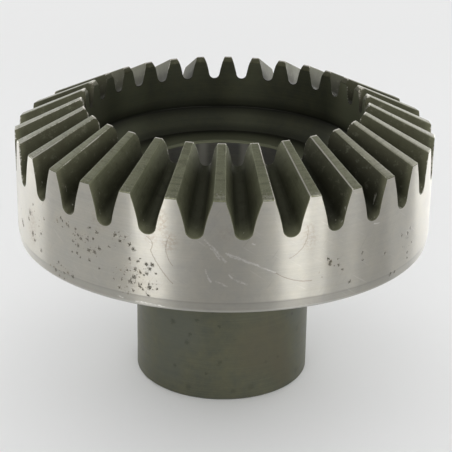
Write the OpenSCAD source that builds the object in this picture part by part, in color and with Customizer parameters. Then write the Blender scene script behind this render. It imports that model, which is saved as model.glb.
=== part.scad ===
// Straight bevel gear with a dished front and a long plain hub, turned and cut from one piece of steel.
// Millimetres. The axis is Z. The gear stands on the end of its hub at Z = 0, with the teeth on top,
// and the apex of the pitch cone lies on the axis above them.

/* [Teeth] */
// Number of teeth
teeth = 30; // [26:1:40]
// Number of teeth on the mating pinion, which sets the pitch cone for shafts at a right angle
mate_teeth = 16; // [12:1:24]
// Module at the large end of the teeth
tooth_module = 5; // [4.5:0.25:6]
// Pressure angle in degrees
pressure_angle = 17.5; // [14.5:0.5:22.5]
// Height of the tooth above the pitch cone at the large end, in modules
addendum_modules = 1; // [0.8:0.05:1.15]
// Depth of the tooth below the pitch cone at the large end, in modules
dedendum_modules = 1.3; // [1.15:0.05:1.45]
// How much thinner the tooth is than half the pitch, at the large end
tooth_thin = 0.4; // [0.1:0.05:0.8]
// Face width, measured along the pitch cone
face_w = 27; // [18:0.5:32]
// Radius of the rounded root at the large end
root_r = 2.8; // [1.5:0.1:3.2]

/* [Head] */
// Height of the head from its back face to the outer corners of the teeth
head_h = 40.5; // [34:0.5:60]
// How far the rim is turned down inside the corner where the tip cone meets the back cone
rim_trim = 0.1; // [0.05:0.05:1]
// Edge broken off the outer corners of the teeth
tip_edge = 0.5; // [0.2:0.1:1.2]
// Height of the bevel round the lower edge of the rim
rim_bevel_h = 4.2; // [1:0.1:6]
// How far the bevel draws in at the back face
rim_bevel_in = 0.6; // [0.3:0.1:3]
// Edge broken off between the bevel and the back face
rim_edge = 0.6; // [0.2:0.1:1.5]

/* [Dish] */
// How far the dish wall stands inside the inner corners of the teeth
dish_lip = 1; // [0.5:0.1:3]
// Depth of the dish floor below the outer corners of the teeth
dish_depth = 16.3; // [13:0.1:20]
// Width of the cone between the dish wall and its floor
dish_cone_w = 9.6; // [4:0.2:11]
// Height of the cone between the dish wall and its floor
dish_cone_h = 7; // [3:0.2:9]

/* [Hub] */
// Outside diameter of the hub
hub_d = 66; // [60:0.5:76]
// Length of the hub below the head's back face
hub_len = 57; // [40:1:80]
// Radius of the fillet between the hub and the back face
hub_fillet = 3; // [1:0.5:6]
// Chamfer on the lower edge of the hub
hub_edge = 0.6; // [0.3:0.1:2]

/* [Bore] */
// Diameter of the shaft bore in the hub
bore_d = 45; // [35:0.5:50]
// Chamfer on the lower edge of the shaft bore
bore_edge = 1.5; // [0.5:0.1:3]
// Diameter of the counterbore in the dish floor
counterbore_d = 59.5; // [52:0.5:64]
// Depth of the counterbore below the dish floor
counterbore_depth = 18; // [10:0.5:20]
// Chamfer on the mouth of the counterbore
mouth_edge = 0.8; // [0.5:0.1:2]

/* [Hidden] */

// Pitch cone, and the large end of the teeth on it
pitch_angle = atan(teeth / mate_teeth);
pitch_r = tooth_module * teeth / 2;
cone_r = pitch_r / sin(pitch_angle);
addendum = addendum_modules * tooth_module;
dedendum = dedendum_modules * tooth_module;
tip_angle = pitch_angle + atan(addendum / cone_r);
inner_share = (cone_r - face_w) / cone_r;

// Heights and radii of the turned blank
back_z = hub_len;
corner_z = back_z + head_h;
rim_r = pitch_r + addendum * cos(pitch_angle) - rim_trim;
apex_z = corner_z + rim_r / tan(tip_angle);
inner_tip_r = inner_share * (pitch_r + addendum * cos(pitch_angle));
dish_r = inner_tip_r - dish_lip;
floor_z = corner_z - dish_depth;
ledge_z = floor_z - counterbore_depth;
hub_r = hub_d / 2;
bore_r = bore_d / 2;
counterbore_r = counterbore_d / 2;

// Virtual spur gear on the developed back cone, which gives the tooth its involute profile
virtual_teeth = teeth / cos(pitch_angle);
virtual_r = pitch_r / cos(pitch_angle);
base_r = virtual_r * cos(pressure_angle);
root_circle_r = virtual_r - dedendum;
tip_circle_r = virtual_r + addendum;
thin_angle = tooth_thin / 2 / virtual_r * 180 / PI;
flank_steps = 7;

// The cutters run past the rim, past the dish wall and above the tips by these lengths,
// and their flanks stay involute until a little above the tips
cutter_over_rim = 12;
cutter_over_dish = 5;
cutter_over_tip = root_r + 2;
flank_over_tip = 0.5;

// How far the fillet reaches into the hub and the head to join them
overlap = 1;

// Facets on the turned faces, the hub's fillet and the root rounding
turned_fn = 180;
fillet_fn = 64;
root_fn = 28;

steel_colour = [0.5, 0.5, 0.45];

// Height of the tip cone at a radius
function tip_cone_z(r) = apex_z - r / tan(tip_angle);

// Height of the front cone, which is square to the pitch cone at the small end, at a radius
function front_cone_z(r) = tip_cone_z(inner_tip_r) - (inner_tip_r - r) * tan(pitch_angle);

// Involute function, in degrees
function involute(a) = tan(a) * 180 / PI - a;

// Half the angle of a tooth space at a radius on the virtual gear
function space_angle(r) =
    90 / virtual_teeth + thin_angle - involute(pressure_angle) + involute(acos(min(1, base_r / r)));

// Point on one flank of a tooth space, seen from the pitch point, with X towards the root
function flank_point(r, side) =
    [virtual_r - r * cos(space_angle(r)), side * r * sin(space_angle(r))];

// Section of the blank with the shaft bore and the counterbore, from the axis outwards
module blank_section() {
    polygon([
        [bore_r + bore_edge, 0],
        [hub_r - hub_edge, 0],
        [hub_r, hub_edge],
        [hub_r, back_z],
        [rim_r - rim_bevel_in - rim_edge, back_z],
        [rim_r - rim_bevel_in, back_z + rim_edge],
        [rim_r, back_z + rim_bevel_h],
        [rim_r, corner_z - tip_edge],
        [rim_r - tip_edge, tip_cone_z(rim_r - tip_edge)],
        [inner_tip_r, tip_cone_z(inner_tip_r)],
        [dish_r, front_cone_z(dish_r)],
        [dish_r, floor_z + dish_cone_h],
        [dish_r - dish_cone_w, floor_z],
        [counterbore_r + mouth_edge, floor_z],
        [counterbore_r, floor_z - mouth_edge],
        [counterbore_r, ledge_z],
        [bore_r, ledge_z],
        [bore_r, bore_edge]
    ]);
    translate([hub_r, back_z]) fillet_section(hub_fillet);
}

// Hollow fillet that fills the corner under the origin, to the right of it
module fillet_section(r) {
    difference() {
        translate([-overlap, -r]) square([r + overlap, r + overlap]);
        translate([r, -r]) circle(r = r, $fn = fillet_fn);
    }
}

module blank() {
    rotate_extrude($fn = turned_fn) blank_section();
}

// Section of a tooth space on the back cone: two involute flanks, straight sides above the tips
// and rounded root corners
module space_section() {
    flank_h = tip_circle_r + flank_over_tip - root_circle_r;
    radii = [for (i = [0:flank_steps]) root_circle_r + flank_h * i / flank_steps];
    right = [for (r = radii) flank_point(r, 1)];
    left = [for (i = [flank_steps:-1:0]) flank_point(radii[i], -1)];
    top_x = virtual_r - tip_circle_r - cutter_over_tip;
    top_y = right[flank_steps][1];
    top = [[top_x, top_y], [top_x, -top_y]];
    offset(r = root_r, $fn = root_fn) offset(delta = -root_r) polygon(concat(right, top, left));
}

// One tooth space: its section shrinks in a straight line towards the apex
module tooth_space() {
    near = cone_r - face_w - cutter_over_dish;
    far = cone_r + cutter_over_rim;
    translate([0, 0, apex_z])
        rotate([0, 180 - pitch_angle, 0])
            translate([0, 0, near])
                linear_extrude(height = far - near, scale = far / near)
                    scale(near / cone_r) space_section();
}

module bevel_gear() {
    color(steel_colour)
        difference() {
            blank();
            for (i = [0:teeth - 1])
                rotate([0, 0, i * 360 / teeth]) tooth_space();
        }
}

bevel_gear();
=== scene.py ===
"""Looks of the straight bevel gear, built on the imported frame.

The gear's skin is one closed surface on a ring grid. A column of the grid is a half plane through
the axis, and a row is one station of the turned section. Every line of a straight bevel tooth runs
to the apex of the pitch cone, so within a column the tooth surface is a straight line, and its
slope depends on the column's turn about the axis alone.

Sizes in the classes are millimetres, and meshes are in metres. A turn is an angle about the axis,
measured from the front (-Y) towards the right (+X).
"""

import logging
import math
from dataclasses import dataclass, field
from enum import Enum
from typing import Any

import bpy
import numpy as np
from mathutils import Matrix, Vector


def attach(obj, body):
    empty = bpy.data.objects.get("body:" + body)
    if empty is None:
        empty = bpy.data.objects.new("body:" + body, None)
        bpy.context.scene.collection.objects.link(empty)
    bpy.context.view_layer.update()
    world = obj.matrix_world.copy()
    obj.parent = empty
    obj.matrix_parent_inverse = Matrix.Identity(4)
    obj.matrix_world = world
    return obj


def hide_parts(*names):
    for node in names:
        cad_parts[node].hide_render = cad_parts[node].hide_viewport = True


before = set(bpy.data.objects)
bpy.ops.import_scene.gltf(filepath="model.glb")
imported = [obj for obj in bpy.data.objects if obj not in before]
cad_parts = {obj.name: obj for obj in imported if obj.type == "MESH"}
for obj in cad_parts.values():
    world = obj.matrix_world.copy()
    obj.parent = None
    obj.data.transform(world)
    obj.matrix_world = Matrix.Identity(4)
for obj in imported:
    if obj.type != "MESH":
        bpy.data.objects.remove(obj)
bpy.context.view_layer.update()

MM = 0.001
ORIGIN = (0.0, 0.0, 0.0)
UNROLL_RADIUS = 77.0
RELIEF = 0.02
LOG = logging.getLogger("bevel_gear")

Colour = tuple[float, float, float]
Socket = bpy.types.NodeSocket
Value = float | tuple | Socket


class Zone(Enum):
    """Faces of the gear that share one finish; the value is the finish's slot on the mesh."""

    RIM = 0
    RIM_LEFT = 1
    RIM_RIGHT = 2
    RIM_REAR = 3
    TEETH = 4
    DISH = 5
    BORE = 6
    HUB = 7


def curve_middle(start: Any, corner: Any, stop: Any) -> Any:
    """Middle of the quadratic curve between two points about their corner."""
    return 0.25 * start + 0.5 * corner + 0.25 * stop


@dataclass(frozen=True)
class ToothForm:
    """Straight bevel teeth: an involute outline on the back cone, carried to the apex."""

    count: int = 30
    mate_count: int = 16
    module: float = 5.0
    pressure_deg: float = 17.5
    addendum: float = 5.0
    dedendum: float = 6.5
    thinning: float = 0.4
    face_width: float = 27.0
    root_radius: float = 2.8
    rim_trim: float = 0.1
    tip_round: float = 0.32
    edge_band: float = 0.9
    flank_over_tip: float = 0.5
    flank_samples: int = 600
    flank_steps: int = 7
    root_steps: int = 8

    @property
    def pitch_radius(self) -> float:
        """Pitch radius at the large end."""
        return self.module * self.count / 2

    @property
    def pitch_angle(self) -> float:
        """Half angle of the pitch cone, for shafts at a right angle."""
        return math.atan2(self.count, self.mate_count)

    @property
    def cone_distance(self) -> float:
        """Length of the pitch cone from its apex to the large end."""
        return self.pitch_radius / math.sin(self.pitch_angle)

    @property
    def tip_angle(self) -> float:
        """Half angle of the cone through the tips."""
        return self.pitch_angle + math.atan(self.addendum / self.cone_distance)

    @property
    def tip_fall(self) -> float:
        """Height that the tip cone loses for each unit of radius."""
        return 1 / math.tan(self.tip_angle)

    @property
    def rim_radius(self) -> float:
        """Radius of the turned rim, just inside the corner of tip cone and back cone."""
        return self.pitch_radius + self.addendum * math.cos(self.pitch_angle) - self.rim_trim

    @property
    def inner_tip_radius(self) -> float:
        """Radius of the tips at the small end."""
        share = 1 - self.face_width / self.cone_distance
        return share * (self.pitch_radius + self.addendum * math.cos(self.pitch_angle))

    def half_outline(self) -> tuple[np.ndarray, np.ndarray, np.ndarray]:
        """Outline from the middle of a tooth space to the middle of the tooth beside it.

        The flank is the involute of the virtual spur gear on the back cone: at virtual radius q
        its half angle is a quarter pitch, and half the thinning, less inv(pressure angle) plus
        inv(arccos(base / q)). A circle tangent to the flank and to the floor rounds the root.
        Each point (x towards the root, y across) lies on the plane square to the pitch line at
        the cone distance, and its turn is atan2(y, ahead) and its fall the height under the apex
        over the radius. Where the flank reaches the fall of the tip cone, a short quadratic curve
        breaks the edge.

        Returns:
            Turns from the middle of the space, falls, and distances to the tip edge on the rim.
        """
        pressure = math.radians(self.pressure_deg)
        delta = self.pitch_angle
        virtual = self.pitch_radius / math.cos(delta)
        base = virtual * math.cos(pressure)
        top = virtual + self.addendum + self.flank_over_tip
        q = np.linspace(virtual - self.dedendum, top, self.flank_samples)
        roll = np.arccos(np.minimum(1.0, base / q))
        quarter = math.pi / 2 * math.cos(delta) / self.count + self.thinning / 2 / virtual
        half = quarter - (math.tan(pressure) - pressure) + np.tan(roll) - roll
        flank = np.stack([virtual - q * np.cos(half), q * np.sin(half)], 1)
        along = np.gradient(flank, axis=0)
        along /= np.linalg.norm(along, axis=1)[:, None]
        centre = flank + self.root_radius * np.stack([-along[:, 1], along[:, 0]], 1)
        floor_x = flank[0, 0]
        touch = np.interp(0.0, floor_x - self.root_radius - centre[:, 0], q)
        middle = np.array([floor_x - self.root_radius, np.interp(touch, q, centre[:, 1])])
        last = math.atan2(-np.interp(touch, q, along[:, 0]), np.interp(touch, q, along[:, 1]))
        swing = np.linspace(0.0, last, self.root_steps)
        arc = middle + self.root_radius * np.stack([np.cos(swing), np.sin(swing)], 1)

        def on_cone(points: np.ndarray) -> tuple[np.ndarray, np.ndarray]:
            """Turn and fall of points on the plane at the cone distance."""
            ahead = self.cone_distance * math.sin(delta) - points[:, 0] * math.cos(delta)
            drop = self.cone_distance * math.cos(delta) + points[:, 0] * math.sin(delta)
            return np.arctan2(points[:, 1], ahead), drop / np.hypot(ahead, points[:, 1])

        turn_f, fall_f = on_cone(flank)
        tip_q = np.interp(-self.tip_fall, -fall_f, q)
        rim = self.rim_radius
        steps = np.hypot(np.diff(turn_f), np.diff(fall_f)) * rim
        length = np.concatenate([[0.0], np.cumsum(steps)])
        to_tip = np.interp(tip_q, q, length) - length
        near_q, round_q = np.interp([-self.edge_band, -self.tip_round], -to_tip, q)
        flank_q = np.append(np.linspace(touch, near_q, self.flank_steps)[1:], round_q)
        turn_r, fall_r = on_cone(np.concatenate([[[floor_x, 0.0]], arc]))
        turn_k, fall_k = np.interp(flank_q, q, turn_f), np.interp(flank_q, q, fall_f)
        tip_turn = np.interp(tip_q, q, turn_f)
        end = math.pi / self.count
        land = tip_turn + np.array([self.tip_round, self.edge_band]) / rim
        land = np.concatenate([land, [(land[1] + end) / 2, end]])
        bend_turn = curve_middle(turn_k[-1], tip_turn, land[0])
        bend_fall = curve_middle(fall_k[-1], self.tip_fall, self.tip_fall)
        turn = np.concatenate([turn_r, turn_k, [bend_turn], land])
        fall = np.concatenate([fall_r, fall_k, [bend_fall], np.full(len(land), self.tip_fall)])
        path = np.concatenate([[0.0], np.cumsum(np.hypot(np.diff(turn), np.diff(fall)))]) * rim
        edge = len(turn_r) + len(turn_k)
        return turn, fall, np.abs(path - path[edge])

    def ring(self) -> tuple[np.ndarray, np.ndarray, np.ndarray, np.ndarray]:
        """All columns round the axis, from the middle of the rear tooth to the right and round.

        One pitch is the half outline mirrored about the middle of its space, and the pitches are
        laid end to end by adding whole pitches to the turns.

        Returns:
            Turns from -pi up to pi, falls and tip edge distances of the columns, and the side of
            its tooth that each lies on: -1 on the left, 1 on the right.
        """
        turn, fall, gap = self.half_outline()
        pitch_turn = np.concatenate([-turn[:0:-1], turn[:-1]])
        pitch = 2 * math.pi / self.count
        spaces = -math.pi + pitch * (np.arange(self.count) + 0.5)
        turns = (spaces[:, None] + pitch_turn[None, :]).ravel()
        falls = np.tile(np.concatenate([fall[:0:-1], fall[:-1]]), self.count)
        gaps = np.tile(np.concatenate([gap[:0:-1], gap[:-1]]), self.count)
        sides = np.tile(-np.sign(pitch_turn), self.count)
        return turns, falls, gaps, sides


@dataclass(frozen=True)
class BlankForm:
    """Turned blank that the teeth are cut in, standing on the end of its hub."""

    head_height: float = 40.5
    bevel_height: float = 4.2
    bevel_inset: float = 0.6
    bevel_edge: float = 0.6
    dish_lip: float = 1.0
    dish_depth: float = 16.3
    dish_cone_width: float = 9.6
    dish_cone_height: float = 7.0
    hub_radius: float = 33.0
    hub_length: float = 57.0
    hub_fillet: float = 3.0
    hub_edge: float = 0.6
    bore_radius: float = 22.5
    bore_edge: float = 1.5
    counterbore_radius: float = 29.75
    counterbore_depth: float = 18.0
    mouth_edge: float = 0.8

    @property
    def corner_height(self) -> float:
        """Height of the outer corners of the teeth."""
        return self.hub_length + self.head_height

    @property
    def floor_height(self) -> float:
        """Height of the dish floor."""
        return self.corner_height - self.dish_depth


@dataclass
class GearBody:
    """The whole gear: blank and teeth as one closed skin, with a finish for each zone."""

    teeth: ToothForm = field(default_factory=ToothForm)
    blank: BlankForm = field(default_factory=BlankForm)
    end_round: float = 0.22
    land_round: float = 0.45
    inner_round: float = 0.35
    curve_ease: float = 0.15
    steepest: float = 3.0
    tooth_shares: tuple[float, ...] = (0.0, 0.04, 0.35, 0.7, 0.97, 1.0)
    no_edge_gap: float = 50.0
    climb_share: float = 0.6
    rim_left: float = math.radians(-29.5)
    rim_right: float = math.radians(-7.0)
    rim_rear: float = math.radians(100.0)
    name: str = "bevel_gear_body"

    @property
    def apex(self) -> float:
        """Height of the apex of the pitch cone."""
        return self.blank.corner_height + self.teeth.rim_radius * self.teeth.tip_fall

    @property
    def dish_radius(self) -> float:
        """Radius of the dish wall."""
        return self.teeth.inner_tip_radius - self.blank.dish_lip

    def tooth_stations(
        self, turns: np.ndarray, falls: np.ndarray
    ) -> tuple[np.ndarray, np.ndarray, list[Zone], np.ndarray]:
        """Stations from the top of the rim over the teeth to the top of the dish wall.

        In a column of fall c the tooth surface has the height apex - r * c. It ends at the rim,
        and inside on the front cone, which is square to the pitch cone at the small end, or on
        the dish wall where that cuts deeper. Quadratic curves break each of these edges; on the
        steep flanks the cut down the rim grows with the outline's slope, so that its width across
        the edge stays the same.

        Args:
            turns: Turn of each column.
            falls: Fall of each column.

        Returns:
            Radii and heights, one row to a station, the zone that follows each station, and the
            distance of each point from the inner end of its tooth or space.
        """
        rim, apex = self.teeth.rim_radius, self.apex
        slope = (np.roll(falls, -1) - np.roll(falls, 1)) / (
            (np.roll(turns, -1) - np.roll(turns, 1)) % (2 * math.pi)
        )
        on_land = falls < self.teeth.tip_fall + 1e-6
        size = np.where(on_land, self.land_round, self.end_round)
        cut = size * np.sqrt(1 + np.minimum(slope**2, self.steepest**2))
        top = apex - rim * falls
        rows = [
            (np.full_like(falls, rim), top - cut),
            (curve_middle(rim, rim, rim - size), curve_middle(top - cut, top, top + size * falls)),
        ]
        front = math.tan(self.teeth.pitch_angle)
        tip_r = self.teeth.inner_tip_radius
        tip_z = apex - tip_r * self.teeth.tip_fall
        wall = self.dish_radius
        inner = np.maximum(wall, (apex - tip_z + tip_r * front) / (front + falls))
        inner_z = apex - inner * falls
        wall_z = np.minimum(tip_z - (tip_r - wall) * front, apex - wall * falls)
        near, far = rim - size, inner + self.inner_round
        for share in self.tooth_shares:
            r = near + (far - near) * share
            rows.append((r, apex - r * falls))
        foot = wall_z - self.inner_round
        span = np.maximum(np.hypot(inner - wall, inner_z - wall_z), 1e-9)
        part = np.minimum(0.5, self.inner_round / span)
        leave_r, leave_z = inner + (wall - inner) * part, inner_z + (wall_z - inner_z) * part
        meet_r, meet_z = wall + (inner - wall) * part, wall_z + (inner_z - wall_z) * part
        bend_r = curve_middle(far, inner, leave_r)
        bend_z = curve_middle(apex - far * falls, inner_z, leave_z)
        turn_r = curve_middle(meet_r, wall, wall)
        turn_z = curve_middle(meet_z, wall_z, foot)
        ease, rest = self.curve_ease, 1 - self.curve_ease
        rows += [
            (bend_r, bend_z),
            (rest * leave_r + ease * bend_r, rest * leave_z + ease * bend_z),
            (rest * meet_r + ease * turn_r, rest * meet_z + ease * turn_z),
            (turn_r, turn_z),
            (np.full_like(falls, wall), foot),
        ]
        zones = [Zone.TEETH] * (len(rows) - 1) + [Zone.DISH]
        radii, heights = (np.stack(part) for part in zip(*rows))
        return radii, heights, zones, np.hypot(radii - inner, heights - inner_z)

    def turned_stations(self) -> tuple[np.ndarray, np.ndarray, list[Zone]]:
        """Stations from the foot of the dish wall through the bore and round the hub to the rim.

        Each corner of the section is replaced by a quadratic curve between two points at a given
        reach from the corner along its two sides: (1-t)^2 A + 2t(1-t) corner + t^2 B.

        Returns:
            Radii and heights of the stations, and the zone that follows each of them.
        """
        b, rim = self.blank, self.teeth.rim_radius
        floor, back = b.floor_height, b.hub_length
        ledge = floor - b.counterbore_depth
        wall, cbore = self.dish_radius, b.counterbore_radius
        inset = rim - b.bevel_inset
        # Each corner's radius and height, its curve's reach and points, and the zone after it
        corners = [
            (wall, floor + b.dish_cone_height, 0.2, 3, Zone.DISH),
            (wall - b.dish_cone_width, floor, 0.2, 3, Zone.DISH),
            (cbore + b.mouth_edge, floor, 0.15, 3, Zone.DISH),
            (cbore, floor - b.mouth_edge, 0.15, 3, Zone.BORE),
            (cbore, ledge, 0.5, 3, Zone.BORE),
            (b.bore_radius, ledge, 0.5, 3, Zone.BORE),
            (b.bore_radius, b.bore_edge, 0.2, 3, Zone.BORE),
            (b.bore_radius + b.bore_edge, 0.0, 0.15, 3, Zone.HUB),
            (b.hub_radius - b.hub_edge, 0.0, 0.15, 3, Zone.HUB),
            (b.hub_radius, b.hub_edge, 0.15, 3, Zone.HUB),
            (b.hub_radius, back, b.hub_fillet, 7, Zone.HUB),
            (inset - b.bevel_edge, back, 0.2, 3, Zone.RIM),
            (inset, back + b.bevel_edge, 0.25, 3, Zone.RIM),
            (rim, back + b.bevel_height, 0.35, 4, Zone.RIM),
        ]
        at = np.array([c[:2] for c in corners])
        upwards = np.array([0.0, 1.0])
        ends = np.concatenate([[at[0] + upwards], at, [at[-1] + upwards]])
        points: list[np.ndarray] = []
        zones: list[Zone] = []
        for i, (r, z, reach, count, zone) in enumerate(corners):
            corner = np.array([r, z])
            before, after = ends[i] - corner, ends[i + 2] - corner
            start = corner + before * reach / np.linalg.norm(before)
            stop = corner + after * reach / np.linalg.norm(after)
            t = np.linspace(0.0, 1.0, count)[:, None]
            points.append((1 - t) ** 2 * start + 2 * t * (1 - t) * corner + t**2 * stop)
            zones += [corners[i - 1][4] if i else Zone.DISH] * (count - 1) + [zone]
        section = np.concatenate(points)
        return section[:, 0], section[:, 1], zones

    def build(self) -> bpy.types.Object:
        """Lays the stations and columns out as a closed ring grid and makes the mesh.

        The point of station j and column k is (r sin turn, -r cos turn, z), and each face joins
        two neighbouring stations and columns, the last to the first.

        Returns:
            The gear's skin, at the origin, in metres.
        """
        turns, falls, gaps, sides = self.teeth.ring()
        r_cut, z_cut, zones, inner_gaps = self.tooth_stations(turns, falls)
        r_turned, z_turned, turned_zones = self.turned_stations()
        wide = np.ones((1, len(turns)))
        radii = np.concatenate([r_cut, r_turned[:, None] * wide])
        heights = np.concatenate([z_cut, z_turned[:, None] * wide])
        zones = zones + turned_zones
        rows, columns = radii.shape
        points = np.stack([radii * np.sin(turns), -radii * np.cos(turns), heights], 2)
        points = points.reshape(-1, 3) * MM
        j, k = np.meshgrid(np.arange(rows), np.arange(columns), indexing="ij")
        j2, k2 = (j + 1) % rows, (k + 1) % columns
        here, above = j * columns, j2 * columns
        faces = np.stack([here + k, here + k2, above + k2, above + k], 2).reshape(-1, 4)
        mesh = mesh_from(self.name, points, faces)
        slots = np.array([zone.value for zone in zones])[:, None] * np.ones(columns, int)
        part = np.where(turns < self.rim_left, Zone.RIM_LEFT.value, Zone.RIM.value)
        part = np.where(turns > self.rim_right, Zone.RIM_RIGHT.value, part)
        part = np.where(np.abs(turns) > self.rim_rear, Zone.RIM_REAR.value, part)
        slots = np.where(slots == Zone.RIM.value, part, slots)
        mesh.polygons.foreach_set("material_index", slots.ravel().astype(np.int32))
        measures = {
            "tip_gap": gaps * r_cut / self.teeth.rim_radius,
            "inner_gap": inner_gaps,
            "tooth_side": np.broadcast_to(sides, r_cut.shape),
        }
        for key, values in measures.items():
            whole = np.full((rows, columns), self.no_edge_gap, np.float32)
            whole[: len(r_cut)] = values
            store = mesh.attributes.new(key, "FLOAT", "POINT")
            store.data.foreach_set("value", whole.ravel())
        self.lay_flat(mesh, radii, heights, turns)
        mesh.normals_split_custom_set_from_vertices(area_normals(points, faces))
        body = bpy.data.objects.new(self.name, mesh)
        bpy.context.scene.collection.objects.link(body)
        return body

    def lay_flat(
        self, mesh: bpy.types.Mesh, radii: np.ndarray, heights: np.ndarray, turns: np.ndarray
    ) -> None:
        """Adds the map that the finishes are baked through: the skin cut at the back and unrolled.

        Across, a column's place is the mean of its path round the rim and its path over the teeth;
        upwards, a station's place is its mean path along the section.

        Args:
            mesh: The gear's mesh, faces in station order.
            radii: Radius of each station and column.
            heights: Height of each station and column.
            turns: Turn of each column.
        """
        rows, columns = radii.shape
        ahead = np.append(turns[1:], turns[0] + 2 * math.pi) - turns
        climb = np.abs(np.append(heights[0, 1:], heights[0, 0]) - heights[0])
        path = ahead * self.teeth.rim_radius + self.climb_share * climb
        across = np.concatenate([[0.0], np.cumsum(path)])
        step = np.hypot(
            np.roll(radii, -1, 0) - radii, np.roll(heights, -1, 0) - heights
        ).mean(1)
        up = np.concatenate([[0.0], np.cumsum(step)])
        across, up = across / across[-1], up / up[-1]
        u = np.broadcast_to(
            np.stack([across[:-1], across[1:], across[1:], across[:-1]], 1), (rows, columns, 4)
        )
        v = np.broadcast_to(
            np.stack([up[:-1], up[:-1], up[1:], up[1:]], 1)[:, None, :], (rows, columns, 4)
        )
        layer = mesh.uv_layers.new(name="OFBake")
        layer.uv.foreach_set("vector", np.stack([u, v], 3).astype(np.float32).ravel())

    def dress(self, body: bpy.types.Object, finishes: dict[Zone, bpy.types.Material]) -> None:
        """Puts the finish of each zone into its slot and seats the skin on the frame.

        Args:
            body: The gear's skin.
            finishes: Material of each zone.
        """
        for zone in Zone:
            body.data.materials.append(finishes[zone])
        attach(body, "root")
        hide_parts("bevel_gear")


def mesh_from(name: str, points: np.ndarray, faces: np.ndarray) -> bpy.types.Mesh:
    """Mesh of quads with smooth faces.

    Args:
        name: Name of the mesh.
        points: Places of the vertices, one row each.
        faces: Vertex numbers of the quads, anticlockwise seen from outside.

    Returns:
        The new mesh.
    """
    mesh = bpy.data.meshes.new(name)
    mesh.vertices.add(len(points))
    mesh.vertices.foreach_set("co", points.astype(np.float32).ravel())
    mesh.loops.add(faces.size)
    mesh.loops.foreach_set("vertex_index", faces.astype(np.int32).ravel())
    mesh.polygons.add(len(faces))
    mesh.polygons.foreach_set("loop_start", np.arange(0, faces.size, 4, dtype=np.int32))
    mesh.update(calc_edges=True)
    mesh.shade_smooth()
    return mesh


def area_normals(points: np.ndarray, faces: np.ndarray) -> np.ndarray:
    """Vertex normals weighted by face area, so that broad faces stay true up to a broken edge.

    A quad's area vector is half the cross product of its diagonals, and a vertex sums those of
    its faces.

    Args:
        points: Places of the vertices.
        faces: Vertex numbers of the quads.

    Returns:
        Unit normals, one row to a vertex.
    """
    a, b, c, d = (points[faces[:, i]] for i in range(4))
    normal = np.cross(c - a, d - b)
    total = np.zeros_like(points)
    for i in range(4):
        np.add.at(total, faces[:, i], normal)
    return total / np.maximum(np.linalg.norm(total, axis=1), 1e-30)[:, None]


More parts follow.
